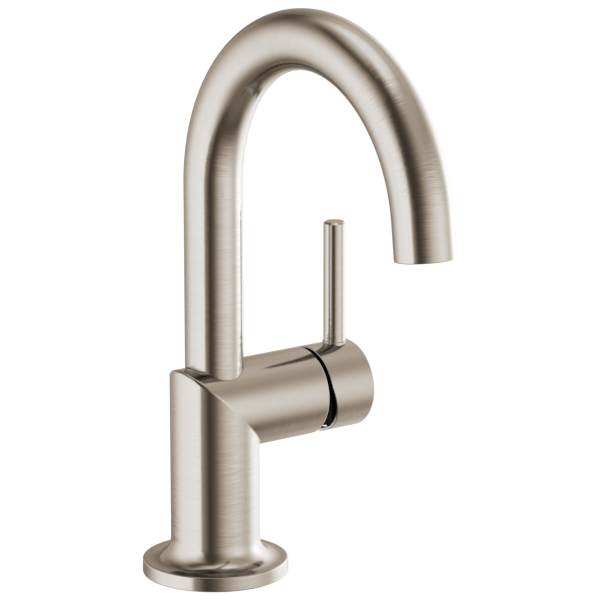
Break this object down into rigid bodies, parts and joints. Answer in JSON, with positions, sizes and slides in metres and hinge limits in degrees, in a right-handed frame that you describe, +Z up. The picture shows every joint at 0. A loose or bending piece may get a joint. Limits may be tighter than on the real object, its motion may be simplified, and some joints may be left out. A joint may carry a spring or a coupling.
{
  "type": "sink faucet",
  "caption": "Single-hole deck faucet: round column on a flared flange, tall bent spout tube with aerator, and a side cap with an upright rod lever on a ceramic cartridge.",
  "frame": {"origin": "centre of the flange's underside, on the deck", "axes": "+Z up along the column, -Y along the spout's reach towards the user, +X along the barrel to the handle"},
  "size_m": [0.1056, 0.1879, 0.3105],
  "materials": {
    "brushed_nickel": "warm brushed nickel plate, lines round each tube",
    "nickel_rod": "finer and shinier nickel plate on the lever's rod",
    "brass": "turned brass",
    "plastic_white": "moulded white plastic",
    "plastic_grey": "moulded grey plastic",
    "plastic_red": "moulded red plastic",
    "bonnet_black": "black, slightly glossy",
    "ceramic": "lapped white ceramic",
    "rubber": "black moulded rubber",
    "steel": "plain steel",
    "zinc_steel": "bright zinc-plated steel"
  },
  "bodies": {
    "root": {"body_shell": "brushed_nickel", "spout_tube": "brushed_nickel", "spout_nipple": "brass", "saddle_washer": "plastic_grey", "spout_nut": "brass", "waterway_tube": "plastic_white", "waterway_o_rings": "rubber", "outlet_adapter": "plastic_white", "aerator_gasket": "rubber", "aerator_housing": "plastic_grey", "aerator_screen": "plastic_grey", "flow_regulator": "plastic_white", "valve_block": "brass", "port_seals": "rubber", "cartridge_base": "plastic_white", "fixed_disc": "ceramic", "cartridge_housing": "plastic_white", "retaining_nut": "brass", "bonnet": "bonnet_black", "base_gasket": "rubber", "shank": "brass", "rubber_washer": "rubber", "steel_washer": "zinc_steel", "mounting_nut": "brass", "jack_screws": "zinc_steel"},
    "rotor": {"rotor": "plastic_grey", "pivot_pin": "steel", "limit_ring": "plastic_red"},
    "disc": {"moving_disc": "ceramic", "disc_carrier": "plastic_white"},
    "lever": {"lever_stem": "brass", "handle_cap": "brushed_nickel", "lever_rod": "nickel_rod", "set_screw": "steel"}
  },
  "joints": [
    {"name": "handle_turn", "type": "hinge", "parent": "root", "child": "rotor", "pos_m": [0.0444, 0, 0.0737], "axis": [1, 0, 0], "range_deg": [-45, 45]},
    {"name": "handle_tilt", "type": "hinge", "parent": "rotor", "child": "lever", "pos_m": [0.0444, 0, 0.0737], "axis": [0, 1, 0], "range_deg": [0, 15]},
    {"name": "disc_slide", "type": "slide", "parent": "rotor", "child": "disc", "axis": [0, 0, 1], "range_m": [0, 0.00223]}
  ],
  "couplings": [
    {"joint": "disc_slide", "follows": "handle_tilt", "m_per_rad": 0.0085}
  ]
}
